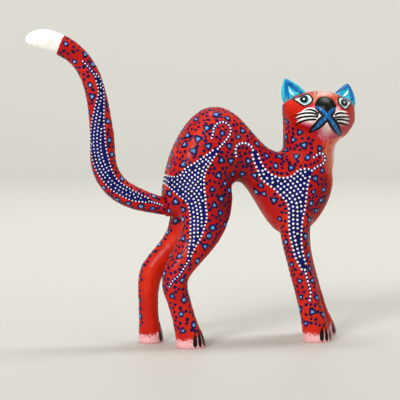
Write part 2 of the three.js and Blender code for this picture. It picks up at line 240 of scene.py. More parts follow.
EYES = {
    "right": {
        "rim": [
            (54.5, 139.7), (58, 141.1), (60.9, 142.4), (63.4, 143), (65, 142.4), (66.1, 140.7),
            (66.3, 139), (64.6, 136.9), (61.7, 135.5), (59.3, 136.1), (56.8, 138),
        ],
        "white": [
            (56.1, 139.6), (58.6, 140.6), (61.3, 141.7), (63.4, 142.1), (64.8, 140.9), (65.3, 139.1),
            (63.9, 137.5), (61.7, 136.3), (59.8, 136.9), (57.6, 138.6),
        ],
        "iris": (61.2, 139.6), "size": 3.2,
    },
    "left": {
        "rim": [
            (79.7, 139), (80.2, 140.6), (81.6, 141.3), (83.2, 141.3), (85, 140.25), (87, 138.95),
            (88.8, 137.5), (87.7, 135.7), (86.2, 134.2), (84, 133.6), (82, 135), (80.2, 137),
        ],
        "white": [
            (80.8, 139), (81.3, 140.1), (82.6, 140.4), (84.5, 139.8), (86.6, 138.5), (87.9, 137.6),
            (86.6, 136.2), (85.5, 134.9), (84, 134.4), (82.5, 135.7), (81.1, 137.2),
        ],
        "iris": (83.9, 137.7), "size": 3.0,
    },
}
NOSE = [
    (72.6, 141.3), (75.4, 140.6), (77.6, 138.8), (78.9, 135.2), (76.4, 134.4), (73.3, 133.2),
    (70.2, 134.8), (67, 136), (67.4, 138.6), (69.6, 140.8),
]
NOSE_RISE = 0.3
EYE_ROUNDS = (1.0, 0.78, 0.62, 0.19)  # the iris, its ring, the pupil and its light, in iris sizes
# The mouth is a cross of four tapering arms: points from the crossing outwards.
MOUTH = {
    "upper_right_arm": [(73.8, 130.4), (71, 133.2), (68.9, 135), (67, 136.1)],
    "upper_left_arm": [(73.8, 130.4), (75.6, 132.8), (76.9, 134.1), (78.3, 134.9)],
    "lower_right_arm": [(73.8, 130.6), (70.9, 127.6), (67.9, 124.2), (64, 120.6)],
    "lower_left_arm": [(73.8, 130.6), (75.9, 127.8), (77.9, 125), (80, 122), (83, 118.7)],
}
# An arm's widths along it, its blue middle's, and how many steps short of the tip that middle ends.
MOUTH_WIDTHS = {
    "upper": ((5.2, 5.5, 5.3, 4.2), (2.1, 2.3, 2.4, 1.9), 1),
    "lower": ((5.2, 5.9, 5.1, 1.5), (2.1, 2.5, 1.8, 0.3), 5),
}
WHISKER_WIDTHS = (1.5, 1.4, 1.2, 0.3)
WHISKERS = [
    [(68.8, 131.6), (66.8, 133), (64, 133.9), (60.6, 133.3)],
    [(68.8, 130.8), (65.2, 131.9), (60.4, 131.7), (54.6, 130.2)],
    [(68.6, 129.8), (64.4, 130.1), (59, 129.4), (55, 128)],
    [(67.6, 128.4), (62.8, 128.1), (59, 126.8), (56, 124.8)],
    [(77.8, 130.6), (80.4, 131.9), (85.4, 131.5)],
    [(77.8, 129.4), (81.4, 129.7), (86.2, 129.4)],
    [(78.6, 128.2), (82.4, 128.2), (87.6, 127.1)],
    [(80, 126.6), (83.4, 125.8), (86.8, 124.8)],
]
LIGHT_WIDTHS = (0.8, 1.5, 1.3, 0.3)
WHISKER_LIGHTS = [
    [(68.6, 132.4), (66.4, 133.9), (62.6, 134.3), (59.6, 132.8)],
    [(68.4, 131.3), (65.4, 132.5), (61, 132.6), (56.8, 131.2)],
    [(68.4, 130.4), (64.6, 131), (59.6, 130.6), (56.2, 129)],
    [(68, 129.1), (63.6, 129.1), (59.4, 128.2), (56.8, 126.4)],
    [(78, 131.4), (81, 132.7), (86, 132.3)],
    [(78, 130.1), (81.6, 130.8), (86.8, 130.4)],
    [(78.4, 128.9), (82.2, 129), (87.4, 128.3)],
    [(79.4, 127.5), (83, 127.1), (87, 126)],
]
BROW_WIDTHS = (0.3, 0.7, 0.6, 0.3)
BROW_STROKES = [
    [(68.9, 144.6), (68.3, 142.6), (67.2, 140.6), (67, 139.2)],
    [(76.4, 144), (77.6, 142.8), (78.6, 141.4), (79.2, 140.2)],
    [(65.4, 144.4), (66.3, 143.2), (66.9, 142)],
    [(63.8, 144.9), (64.6, 144.2), (65.2, 143.4)],
    [(83.6, 142.6), (84.2, 142), (84.6, 141.3)],
    [(85.4, 141.8), (86, 141.2), (86.4, 140.4)],
]
# The ears' outer edges are brought out: s, z, half length, half height, push ahead.
EAR_SHAPE = {"ear_right": (48, 142, 3.5, 9, -1.3), "ear_left": (91.5, 141, 3, 8, 0.7)}
BLUE_WIDTHS = (2.2, 3.2, 3.2, 2.6)
EAR_LIGHT_WIDTHS = (0.3, 1.1, 1.2, 0.3)
EAR_MARKS = {
    "ear_right": {
        "blue": [
            [(52.2, 151), (52, 146.6), (52.2, 142.4), (52.4, 139.2)],
            [(52.1, 150.9), (54.8, 147.8), (58, 145.2), (61.4, 143)],
        ],
        "white": [(53.3, 146.8), (54.3, 144.2), (56.4, 141.6)],
    },
    "ear_left": {
        "blue": [
            [(88.3, 148.6), (85.2, 146.2), (82.6, 144.6), (80.8, 143.2)],
            [(88.7, 148.8), (90, 145.4), (90.5, 141.6), (90.2, 138.8)],
        ],
        "white": [(88.6, 145), (87.4, 143), (85.4, 141.6)],
    },
}

# ---- colours, as the painter mixed them, and a dark red for painted shade ----


def colour(code):
    """An sRGB hex code as linear RGBA."""
    parts = [int(code[k : k + 2], 16) / 255 for k in (0, 2, 4)]
    linear = [c / 12.92 if c <= 0.04045 else ((c + 0.055) / 1.055) ** 2.4 for c in parts]
    return (*linear, 1.0)


ORANGE_RED = colour("d62b05")
SCARLET = colour("b60c07")
# painted shade: the dark red that the red turns to where the painted shade is strongest
PAINTED_SHADE_RED = colour("640607")
NAVY = colour("060668")
DARK_NAVY = colour("040438")
MARK_NAVY = colour("100848")
MARK_INK = colour("0a0428")
SKY = colour("3a80d4")
PALE_SKY = colour("86c0f8")
WHITE = colour("ffffff")
BONE = colour("f3f1ed")
PINK = colour("f0a3ae")
PALE_PINK = colour("f2c4c2")
SALMON = colour("e08264")
ROSE = colour("c02842")
ROSE_PINK = colour("d9768a")
TURQUOISE = colour("2fbcd2")
DEEP_TURQUOISE = colour("1795b8")
CERULEAN = colour("066cb0")
DEEP_CERULEAN = colour("045696")
MOUTH_BLUE = colour("0e5ca6")
STREAK_BLUE = colour("5aa2d8")
AQUA = colour("98cdd4")
TEAL = colour("2a6c80")
DARK_TEAL = colour("14404f")
UMBER = colour("6a2416")
BLACK = colour("07070a")
GREEN_BLACK = colour("141f14")
COPAL = colour("c9a673")
COPAL_DARK = colour("9c7442")

# ---- materials ----

Coat = namedtuple("Coat", "material slot")  # a paint and a slot name, which is kept with it but given to no piece


class Look:
    """A node material, put together step by step out of nodes' output sockets."""

    def __init__(self, name):
        self.material = bpy.data.materials.new(name)
        self.material.use_nodes = True
        self.tree = self.material.node_tree
        self.shader = self.tree.nodes["Principled BSDF"]
        self.place = self.node("ShaderNodeTexCoord").outputs["Object"]

    def node(self, kind, inputs=None, **settings):
        made = self.tree.nodes.new(kind)
        for key, value in settings.items():
            setattr(made, key, value)
        self.fill(made, inputs or {})
        return made

    def fill(self, node, inputs):
        for name, value in inputs.items():
            self.feed(node.inputs[name], value)

    def feed(self, socket, value):
        """Links a socket's value in, or sets a number or a colour."""
        if isinstance(value, bpy.types.NodeSocket):
            self.tree.links.new(value, socket)
        else:
            socket.default_value = value

    def noise(self, size_mm, detail=2.0, roughness=0.5, stretch=(1, 1, 1)):
        """Noise of 0 to 1 with blobs of about size_mm, drawn out along the stretched axes."""
        scale = [1 / k for k in stretch]
        mapping = self.node("ShaderNodeMapping", {"Vector": self.place, "Scale": scale})
        made = self.node("ShaderNodeTexNoise", {
            "Vector": mapping.outputs["Vector"], "Scale": 1 / (size_mm * MM), "Detail": detail,
            "Roughness": roughness,
        })
        return made.outputs["Fac"]

    def kept(self, name):
        """A value kept on the mesh."""
        return self.node("ShaderNodeAttribute", attribute_name=name).outputs["Fac"]

    def sum(self, *terms):
        """The sum of (socket or number, weight) terms."""
        total = 0.0
        for value, weight in terms:
            made = self.node("ShaderNodeMath", operation="MULTIPLY_ADD")
            for socket, item in zip(made.inputs, (value, weight, total)):
                self.feed(socket, item)
            total = made.outputs["Value"]
        return total

    def uneven(self, name, amount, *blobs):
        """A value kept on the mesh, made uneven by noise with a full height of amount."""
        return self.sum((self.kept(name), 1.0), (self.noise(*blobs), amount), (-amount / 2, 1.0))

    def ramp(self, value, low, high):
        """0 below low and 1 above high, smoothly between; low may be the greater."""
        span = {"Value": value, "From Min": low, "From Max": high}
        made = self.node("ShaderNodeMapRange", span, interpolation_type="SMOOTHSTEP")
        return made.outputs["Result"]

    def mix(self, factor, first, second):
        made = self.node("ShaderNodeMix", {"Factor": factor}, data_type="RGBA")
        colours = [socket for socket in made.inputs if socket.type == "RGBA"]
        self.feed(colours[0], first)
        self.feed(colours[1], second)
        return next(socket for socket in made.outputs if socket.type == "RGBA")

    def finish(self, base, rough=(0.34, 0.5), relief_mm=0.03, relief_size=1.6, coat=0.04):
        """Connects the colour, and a brushed gloss that is duller where the brush ran dry."""
        dry = self.node("ShaderNodeMapRange", {
            "Value": self.noise(5, 4), "From Min": 0.3, "From Max": 0.7,
            "To Min": rough[0], "To Max": rough[1],
        })
        brushed = self.noise(relief_size, 3, 0.55, (1, 1, 2.5))
        relief = {"Strength": 1.0, "Distance": relief_mm * MM, "Height": brushed}
        bump = self.node("ShaderNodeBump", relief)
        self.fill(self.shader, {
            "Base Color": base, "Roughness": dry.outputs["Result"], "Specular IOR Level": 0.16,
            "Coat Weight": coat, "Coat Roughness": 0.12, "Normal": bump.outputs["Normal"],
        })
        return self.material


def red_ground(look):
    """Red-orange laid over scarlet in two coats, with painted shade that darkens it to scarlet and dark
    red at the waist, on the breast and underneath.
    """
    # painted shade: the kept shade value pushes the red towards scarlet here and towards dark red below
    tone_and_shade = look.sum((look.noise(16, 2), 1.0), (look.kept("shade"), 0.9))
    ground = look.mix(look.ramp(tone_and_shade, 0.35, 0.85), ORANGE_RED, SCARLET)
    ground = look.mix(look.ramp(look.kept("shade"), 0.45, 1.3), ground, PAINTED_SHADE_RED)
    strokes = look.noise(1.3, 3, 0.6, (1, 1, 7))
    return look.mix(look.sum((look.ramp(strokes, 0.5, 0.75), 0.45)), ground, SCARLET)


def with_bands(look, ground):
    """Navy inside the bands' outlines, with a hand's unevenness at the edge."""
    navy = look.mix(look.ramp(look.noise(3, 3), 0.4, 0.75), NAVY, DARK_NAVY)
    return look.mix(look.ramp(look.uneven("band", 0.5, 2.4, 2), 0.42, 0.24), ground, navy)


def body_look():
    """The red ground with the pale face, the throat's stripe, sponged pink feet and the bands."""
    look = Look("red_painted_body")
    ground = red_ground(look)
    pale = look.uneven("pale", 0.56, 1.2, 3, 0.6, (1, 1, 4))
    throat = look.uneven("throat", 0.8, 1.4, 3, 0.6, (1, 1, 3))
    for field, low, high, tone in (
        (pale, 0.12, 0.34, ROSE), (pale, 0.3, 0.55, ROSE_PINK), (pale, 0.5, 0.75, PALE_PINK),
        (pale, 0.72, 0.95, WHITE), (throat, 0.35, 0.8, SALMON), (throat, 0.7, 1.0, PALE_PINK),
    ):
        ground = look.mix(look.ramp(field, low, high), ground, tone)
    sponge = look.sum(
        (look.kept("height"), 1.0), (look.noise(0.8, 3, 0.7), 9.0), (look.noise(4, 1), 2.0),
        (-5.5, 1.0),
    )
    foot = look.mix(look.ramp(look.noise(1.1, 3), 0.4, 0.65), PINK, PALE_PINK)
    ground = look.mix(look.ramp(sponge, 5.3, 4.6), ground, foot)
    return look.finish(with_bands(look, ground))


def tail_look():
    """The red ground with the band and the white tip."""
    look = Look("red_painted_tail")
    ground = with_bands(look, red_ground(look))
    white = look.mix(look.ramp(look.noise(4, 3), 0.4, 0.8), WHITE, BONE)
    edge = look.uneven("tip", 0.8, 2.5, 2)
    return look.finish(look.mix(look.ramp(edge, 0.15, -0.15), ground, white))


def paint_coat(slot, name, main, second, size_mm=2.0, rough=(0.25, 0.4), share=(0.42, 0.72)):
    """One paint with a second tone brushed through it."""
    look = Look(name)
    tone = look.mix(look.ramp(look.noise(size_mm, 3, 0.55, (1, 1, 1.6)), *share), main, second)
    return Coat(look.finish(tone, rough, 0.02, 0.9), slot)


def bare_wood_look():
    """Sanded copal, its grain drawn out along the dowel."""
    look = Look("bare_copal")
    grain = look.noise(0.7, 4, 0.65, (14, 2, 6))
    pores = look.noise(0.35, 2, 0.5, (5, 1, 3))
    tone = look.mix(look.ramp(grain, 0.35, 0.7), COPAL, COPAL_DARK)
    tone = look.mix(look.sum((look.ramp(pores, 0.62, 0.75), 0.5)), tone, COPAL_DARK)
    return look.finish(tone, (0.55, 0.75), 0.05, 0.5, coat=0.0)


# ---- carved surfaces ----


def read(items, name, width, kind=float):
    """A property of a mesh's items as an array with a row for each."""
    flat = np.empty(len(items) * width, dtype=kind)
    items.foreach_get(name, flat)
    return flat.reshape(-1, width)


def arrays(mesh):
    """A mesh's places in millimetres, its normals and its edges."""
    places = read(mesh.vertices, "co", 3) / MM
    return places, read(mesh.vertices, "normal", 3), read(mesh.edges, "vertices", 2, np.int64)


def put_back(mesh, places):
    """Moves a mesh's points, and returns its new normals."""
    mesh.vertices.foreach_set("co", (places * MM).ravel())
    mesh.update()
    return arrays(mesh)[1]


def new_object(name, data):
    made = bpy.data.objects.new(name, data)
    bpy.context.scene.collection.objects.link(made)
    return made


def neighbour_mean(values, edges):
    """The mean of each point's neighbours, for one column or several."""
    columns = values.reshape(len(values), -1)
    ends = np.concatenate([edges[:, 0], edges[:, 1]])
    others = np.concatenate([edges[:, 1], edges[:, 0]])
    count = np.maximum(np.bincount(ends, minlength=len(values)), 1)
    sums = [np.bincount(ends, columns[others, k], len(values)) for k in range(columns.shape[1])]
    return (np.stack(sums, 1) / count[:, None]).reshape(values.shape)


SAND_IN, SAND_OUT = 0.5, 0.52  # shares of the way to the neighbours' mean, then back out
HOLLOW = 0.02  # further under its neighbours' mean than this, a point is in a crease
FILL_BLUR = 3  # rounds that soften the filled places' edges
FILL_GAIN, FILL_SHARE = 1.5, 0.6


def sand(places, edges, rounds):
    """Smooths without shrinking."""
    for _ in range(rounds):
        places = places + SAND_IN * (neighbour_mean(places, edges) - places)
        places = places - SAND_OUT * (neighbour_mean(places, edges) - places)
    return places


def fill_creases(places, normals, edges, rounds, reach):
    """Rounds out hollow creases, such as those where a leg leaves the trunk."""
    hollow = ((neighbour_mean(places, edges) - places) * normals).sum(1)
    weight = (hollow > HOLLOW).astype(float)
    for _ in range(reach):
        weight = np.maximum(weight, neighbour_mean(weight, edges))
    for _ in range(FILL_BLUR):
        weight = neighbour_mean(weight, edges)
    weight = np.clip(weight * FILL_GAIN, 0, 1)[:, None] * FILL_SHARE
    for _ in range(rounds):
        places = places + weight * (neighbour_mean(places, edges) - places)
    return places


def knife_marks(places, normals, depth, seed):
    """The slight unevenness that a knife leaves under the sanding."""
    offset = Vector((seed, seed, seed))
    marks = [
        noise.noise(Vector(p) / 9 + offset) + 0.4 * noise.noise(Vector(p) / 3.5 - offset)
        for p in places
    ]
    return places + normals * (np.array(marks) * depth)[:, None]


def add_rod(mesh, foot, axis, radius, low, high):
    """Adds a closed round rod along an axis, between two distances from foot."""
    rod = bmesh.new()
    rod.from_mesh(mesh)
    turn = Vector(axis).to_track_quat("Z", "Y").to_matrix().to_4x4()
    middle = Vector(foot) + Vector(axis).normalized() * ((low + high) / 2)
    bmesh.ops.create_cone(
        rod, cap_ends=True, segments=40, radius1=radius * MM, radius2=radius * MM,
        depth=(high - low) * MM, matrix=Matrix.Translation(middle * MM) @ turn,
    )
    rod.to_mesh(mesh)
    rod.free()


def start_piece(name, node, voxel, holes):
    """A new object with the CAD node's mesh, its holes filled, remeshed into even small faces."""
    piece = new_object(name, frame["nodes"][node].data.copy())
    piece.data.materials.clear()
    for hole in holes:
        add_rod(piece.data, hole.foot, hole.axis, hole.radius + hole.spare * voxel, *hole.fill)
    remesh = piece.modifiers.new("remesh", "REMESH")
    remesh.mode = "VOXEL"
    remesh.voxel_size = voxel * MM
    return apply_modifiers(piece)


def apply_modifiers(piece):
    """Puts the modified mesh in the place of the piece's own."""
    seen = piece.evaluated_get(bpy.context.evaluated_depsgraph_get())
    made = bpy.data.meshes.new_from_object(seen)
    piece.modifiers.clear()
    old = piece.data
    piece.data = made
    bpy.data.meshes.remove(old)
    return piece


def bore(piece, hole):
    cutter = new_object("bore", bpy.data.meshes.new("bore"))
    add_rod(cutter.data, hole.foot, hole.axis, hole.radius, hole.low, hole.high)
    cut_away(piece, cutter)
    bpy.data.objects.remove(cutter)


def cut_away(piece, cutter):
    """Takes the cutter's shape out of the piece."""
    cut = piece.modifiers.new("cut", "BOOLEAN")
    cut.operation = "DIFFERENCE"
    cut.object = cutter
    cut.solver = "MANIFOLD"
    apply_modifiers(piece)


def keep(mesh, **values):
    """Keeps values on the mesh, one for each point, for the materials."""
    for name, column in values.items():
        held = mesh.attributes.new(name, "FLOAT", "POINT")
        held.data.foreach_set("value", np.asarray(column, dtype=np.float32))


def shade_smooth(piece):
    piece.data.polygons.foreach_set("use_smooth", [True] * len(piece.data.polygons))


# ---- distances on the chart ----


def smooth_line(points, step, closed=False):
    """A Catmull-Rom curve through the points, as points about a step apart."""
    knots = np.array(points, dtype=float)
    mode = "wrap" if closed else "clip"
    made = []
    for k in range(len(knots) if closed else len(knots) - 1):
        a, b, c, d = np.take(knots, range(k - 1, k + 3), axis=0, mode=mode)
        pieces = max(int(np.linalg.norm(c - b) / step), 1)
        for t in np.arange(pieces) / pieces:
            made.append(
                b + 0.5 * t * (c - a + t * (2 * a - 5 * b + 4 * c - d + t * (3 * (b - c) + d - a)))
            )
    if not closed:
        made.append(knots[-1])
    return np.array(made)


def line_distance(points, line, closed=False):
    """Distance of each chart point to a line of points."""
    starts = line if closed else line[:-1]
    ends = np.roll(line, -1, axis=0) if closed else line[1:]
    along = ends - starts
    best = np.full(len(points), np.inf)
    for start, step in zip(starts, along):
        away = points - start
        t = np.clip(away @ step / max(step @ step, 1e-9), 0, 1)
        best = np.minimum(best, np.linalg.norm(away - t[:, None] * step, axis=1))
    return best


def area_distance(points, loop):
    """Distance of each chart point to a closed outline, negative inside it."""
    s, z = points.T
    inside = np.zeros(len(points), dtype=bool)
    for (s0, z0), (s1, z1) in zip(loop, np.roll(loop, -1, axis=0)):
        if z0 != z1:
            spans = (z0 <= z) != (z1 <= z)
            inside ^= spans & (s < s0 + (z - z0) / (z1 - z0) * (s1 - s0))
    return np.where(inside, -1, 1) * line_distance(points, loop, closed=True)


LINE_HALF_WIDTH = 0.62  # of the navy line under a single row of dots
LIMB = -0.15  # a side's paint ends where the surface turns this far from the viewer
LIMB_RADIUS = 6.0  # turns that into a distance
OVERLAP = 2.0  # how far one side's band runs over the middle plane, above the legs
LEGS_TOP = 74  # where the overlap passes 0; it grows upwards by OVERLAP_RISE of the height
OVERLAP_RISE = 0.75
LEGS_GAP = -1  # the overlap further down, where the band stops short of the plane
FAR_AWAY = 9.0  # stands for any greater distance


def side_band(band, side, places, normals):
    """Distance to one side's part of a navy band in millimetres, negative inside it."""
    _, y, z = places.T
    chart = side.chart(places)
    parts = [area_distance(chart, smooth_line(band.outline, 1.0, closed=True))]
    for line in band.lines:
        parts.append(line_distance(chart, smooth_line(line, 0.7)) - LINE_HALF_WIDTH)
    turned_away = (LIMB - normals @ side.out) * LIMB_RADIUS
    overlap = np.clip((z - LEGS_TOP) * OVERLAP_RISE, LEGS_GAP, OVERLAP)
    beyond = (MIDDLE_Y - y) * side.sign - overlap
    return np.maximum.reduce([np.minimum.reduce(parts), turned_away, beyond])


def band_distance(band, sides, places, normals):
    """Distance to both sides' parts of a navy band, no more than FAR_AWAY."""
    near, far = (side_band(band, side, places, normals) for side in sides)
    return np.minimum(np.minimum(near, far), FAR_AWAY)


def gauss(chart, field):
    """A bell over the chart, 1 at the field's middle."""
    s, z, length, height = field[:4]
    return np.exp(-(((chart[:, 0] - s) / length) ** 2 + ((chart[:, 1] - z) / height) ** 2))


def bells(chart, fields):
    """The sum of the fields' bells, each times the field's fifth value."""
    return sum(field[4] * gauss(chart, field) for field in fields)


# ---- surfaces to paint on ----

CLEAR_OUT = 80  # from the middle plane, further out than any wood
HEAD_HALF = 16  # half the head's width, rounded up


class Surface:
    """A finished piece as something to paint on."""

    def __init__(self, piece, body):
        self.body = body
        piece.data.calc_loop_triangles()
        self.places = arrays(piece.data)[0]
        self.faces = read(piece.data.loop_triangles, "vertices", 3, np.int64)
        self.tree = BVHTree.FromPolygons(self.places.tolist(), self.faces.tolist())

    def near(self, point):
        """The nearest surface point, and the normal there."""
        return self.tree.find_nearest(point)[:2]

    def cast(self, start, direction):
        """The first surface point that a ray meets, or None."""
        return self.tree.ray_cast(start, direction)[0]

    def drop(self, side, s, z):
        """The surface under a chart place, or the nearest of it if the chart place is off the edge."""
        hit = self.cast(side.point(s, z, CLEAR_OUT), Vector(-side.out))
        if hit:
            return hit
        depths = range(-HEAD_HALF, HEAD_HALF + 1, 2)
        tries = [self.tree.find_nearest(side.point(s, z, out)) for out in depths]
        return min(tries, key=lambda found: found[3])[0]

    def trace(self, side, line, step=0.5):
        """Surface points a step apart under a chart line."""
        points = [self.drop(side, s, z) for s, z in smooth_line(line, 0.4)]
        return even_points(points, step)

    def samples(self, count, seed):
        """Even random points of the surface, and the face of each."""
        chooser = np.random.default_rng(seed)
        a, b, c = (self.places[self.faces[:, k]] for k in range(3))
        size = np.linalg.norm(np.cross(b - a, c - a), axis=1)
        face = chooser.choice(len(size), count, p=size / size.sum())
        u, v = chooser.random((2, count))
        u, v = np.where(u + v > 1, (1 - u, 1 - v), (u, v))
        spots = a[face] + u[:, None] * (b - a)[face] + v[:, None] * (c - a)[face]
        return spots, face

    def level_rows(self, values, level, step, within=None):
        """Points about a step apart along the lines where the values pass a level, within a mask."""
        links = {}  # from each edge that is crossed to the next ones
        above = values > level
        mixed = above[self.faces].any(1) & ~above[self.faces].all(1)
        if within is not None:
            mixed &= within[self.faces].all(1)
        for a, b, c in self.faces[mixed].tolist():
            edges = [(min(ends), max(ends)) for ends in ((a, b), (b, c), (c, a))]
            first, second = (edge for edge in edges if above[edge[0]] != above[edge[1]])
            links.setdefault(first, []).append(second)
            links.setdefault(second, []).append(first)

        def crossing(edge):
            a, b = edge
            t = (level - values[a]) / (values[b] - values[a])
            return self.places[a] * (1 - t) + self.places[b] * t

        return [even_points([*map(crossing, chain)], step, fit=True) for chain in chains(links)]


def chains(links):
    """Sorts linked keys into lines. A closed line ends on the key that it starts with."""
    left = set(links)
    loose_ends_first = sorted(links, key=lambda key: len(links[key]) > 1)
    for start in loose_ends_first:
        if start not in left:
            continue
        chain = []
        following = [start]
        while following:
            chain.append(following[0])
            left.remove(following[0])
            following = [key for key in links[chain[-1]] if key in left]
        if len(chain) > 2 and start in links[chain[-1]]:
            chain.append(start)
        yield chain


def even_points(points, step, fit=False):
    """Points a step apart along a line; fit stretches the step so that they come out even."""
    line = np.array([tuple(p) for p in points])
    reach = np.concatenate([[0], np.cumsum(np.linalg.norm(np.diff(line, axis=0), axis=1))])
    closed = len(line) > 3 and np.allclose(line[0], line[-1])
    if reach[-1] < step * 0.6:
        return [Vector(line[len(line) // 2])]
    if fit:
        count = max(round(reach[-1] / step), 1)
        marks = np.linspace(0, reach[-1], count + 1)[: count if closed else count + 1]
    else:
        marks = np.arange(int(reach[-1] / step) + 1) * step
    return [Vector([np.interp(m, reach, line[:, k]) for k in range(3)]) for m in marks]


# ---- raised paint ----

SUNK = -0.08  # how deep a paint film's rim lies under the wood's surface
LAP = 0.05  # how deep an upper coat's rim lies in the coat under it
UNDERSIDE = 0.1  # from a film's rim down to its underside
NAVY_RISE = 0.09
SKY_RISE = 0.17
WHITE_RISE = 0.26
RISE = (0.1, 0.16, 0.22, 0.27, 0.32, 0.38)  # of the coats on the face, from the lowest up
# The rings of a flat spot and of a round dot: size, and height from rim to top.
FLAT_STEPS = ((1, 0), (0.88, 0.85), (0.5, 1))
DOT_STEPS = ((1, 0), (0.85, 0.62), (0.45, 0.93))
# A brush line's section: distance from its middle in half widths, and height from rim to top.
HALF_PROFILE = ((1, 0), (0.82, 0.7), (0.55, 0.92), (0.27, 1))
STROKE_PROFILE = [(-out, rise) for out, rise in HALF_PROFILE] + [(0, 1), *reversed(HALF_PROFILE)]
PATCH_STEP = 0.45  # between the points of a patch's outline
PATCH_EDGE = 0.15  # the width of its rounded edge
DOT_PITCH = 2.25
FIRST_ROW = 0.15  # from a band's edge to its first row of dots
ROW_GAP, FILL_GAP = 0.76, 0.88  # in pitches: the least between the rows' dots, and round later ones
BARE_NAVY = -0.4  # gaps are looked for from here inwards
WIDEST_BAND = 30


class Paint:
    """Raised paint of one coat on one surface, gathered into one mesh."""

    def __init__(self, name, surface, coat):
        self.name, self.surface, self.coat = name, surface, coat
        self.points, self.faces = [], []

    def add(self, place, normal, lift):
        """Adds the point that lies lift above a surface point."""
        self.points.append(place + normal * lift)
        return len(self.points) - 1

    def lifted(self, point, lift):
        return self.add(*self.surface.near(point), lift)

    def film(self, ring_at, steps, middle, lift, base):
        """A thin closed body: rings round a middle, from the rim inwards, raised from base to lift."""
        rings = [
            [self.lifted(point, base + (lift - base) * rise) for point in ring_at(size)]
            for size, rise in steps
        ]
        top = self.add(*middle, lift)
        bottom = self.add(*middle, base - UNDERSIDE)
        count = len(rings[0])
        for k in range(count):
            j = (k + 1) % count
            self.faces.append((bottom, rings[0][j], rings[0][k]))
            for outer, inner in zip(rings, rings[1:]):
                self.faces.append((outer[k], outer[j], inner[j], inner[k]))
            self.faces.append((rings[-1][k], rings[-1][j], top))

    def spot(self, centre, outline, lift, base=SUNK, steps=FLAT_STEPS):
        """A spot with an outline in the surface's own plane, raised to lift."""
        place, normal = self.surface.near(centre)
        first = normal.orthogonal().normalized()
        second = normal.cross(first)

        def ring_at(size):
            return [place + (first * a + second * b) * size for a, b in outline]

        self.film(ring_at, steps, (place, normal), lift, base)

    def patch(self, side, loop, lift, base=SUNK):
        """A patch whose outline is drawn on the chart, in rings that close in on its middle."""
        outline = smooth_line(loop, PATCH_STEP, closed=True)
        middle = outline.mean(0)
        radius = np.linalg.norm(outline - middle, axis=1).mean()
        ahead = np.roll(outline, -1, axis=0) - outline
        turning = (outline[:, 0] * ahead[:, 1] - outline[:, 1] * ahead[:, 0]).sum() * -side.sign
        if turning < 0:
            outline = outline[::-1]
        steps = [(1, 0), (1 - PATCH_EDGE / radius, 0.85)]
        steps += [(size, 1) for size in np.arange(0.86, 0.1, -0.12)]

        def ring_at(size):
            return [self.surface.drop(side, *(middle + (p - middle) * size)) for p in outline]

        centre = self.surface.near(self.surface.drop(side, *middle))
        self.film(ring_at, steps, centre, lift, base)

    def stroke(self, points, widths, lift, base=SUNK):
        """A brush line with round ends through surface points. widths are given along it."""
        count = len(points)
        if count < 3:
            return
        length = sum((b - a).length for a, b in zip(points, points[1:]))
        rows = []
        for k, point in enumerate(points):
            place, normal = self.surface.near(point)
            heading = (points[min(k + 1, count - 1)] - points[max(k - 1, 0)]).normalized()
            across = normal.cross(heading).normalized()
            share = k / (count - 1)
            half = np.interp(share, np.linspace(0, 1, len(widths)), widths) / 2
            from_end = min(share, 1 - share) * length
            if from_end < half:
                half *= max(math.sqrt(1 - (1 - from_end / half) ** 2), 0.3)
            row = [
                self.lifted(place + across * (half * out), base + (lift - base) * rise)
                for out, rise in STROKE_PROFILE
            ]
            row.append(self.add(place, normal, base - UNDERSIDE))
            rows.append(row)
        sides = len(rows[0])
        for row, following in zip(rows, rows[1:]):
            for a in range(sides):
                b = (a + 1) % sides
                self.faces.append((row[a], following[a], following[b], row[b]))
        self.faces.append(tuple(rows[0]))
        self.faces.append(tuple(reversed(rows[-1])))

    def make(self):
        mesh = bpy.data.meshes.new(self.name)
        mesh.from_pydata([tuple(p * MM) for p in self.points], [], self.faces)
        mesh.materials.append(self.coat.material)
        made = new_object(self.name, mesh)
        shade_smooth(made)
        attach(made, self.surface.body)


def oval(radius, sides, stretch, wobble):
    """An outline of a dabbed dot."""
    turn = rng.uniform(0, math.tau)
    made = []
    for k in range(sides):
        angle = math.tau * k / sides
        reach = radius * (1 + rng.uniform(-wobble, wobble))
        a, b = reach * math.cos(angle) * stretch, reach * math.sin(angle) / stretch
        made.append((
            a * math.cos(turn) - b * math.sin(turn), a * math.sin(turn) + b * math.cos(turn)
        ))
    return made


HEART_SIDES = 15
HEART_CORE = 0.72  # its reach where nothing bulges, in radii
# A heart's point and its two lobes: the angle that each is at, how far it bulges and how widely.
HEART_BULGES = ((0, 0.42, 0.5), (2.15, 0.3, 0.55), (-2.15, 0.3, 0.55))
NOTCH_WIDTH = 0.45


def heart(radius, turn, notch):
    """A heart's outline: a drawn-out point, two round lobes, and a notch between them."""
    made = []
    for k in range(HEART_SIDES):
        angle = math.tau * k / HEART_SIDES
        bulges = HEART_CORE
        for at, height, width in HEART_BULGES:
            away = (angle - at + math.pi) % math.tau - math.pi
            bulges += height * math.exp(-((away / width) ** 2))
        dent = notch * math.exp(-(((angle - math.pi) / NOTCH_WIDTH) ** 2))
        reach = radius * (bulges - dent)
        made.append((reach * math.cos(angle + turn), reach * math.sin(angle + turn)))
    return made


def thinned(points, gap, taken=()):
    """The points that keep a gap from each other and from those taken, first come first served."""
    cells = {}  # those so far, by the cube of space that they are in

    def cell(p):
        return tuple(int(math.floor(c / gap)) for c in p)

    for p in taken:
        cells.setdefault(cell(p), []).append(p)
    kept = []
    around = [(i, j, k) for i in (-1, 0, 1) for j in (-1, 0, 1) for k in (-1, 0, 1)]
    for p in points:
        c = cell(p)
        close = (q for i, j, k in around for q in cells.get((c[0] + i, c[1] + j, c[2] + k), ()))
        if all(math.dist(p, q) >= gap for q in close):
            cells.setdefault(c, []).append(p)
            kept.append(p)
    return kept


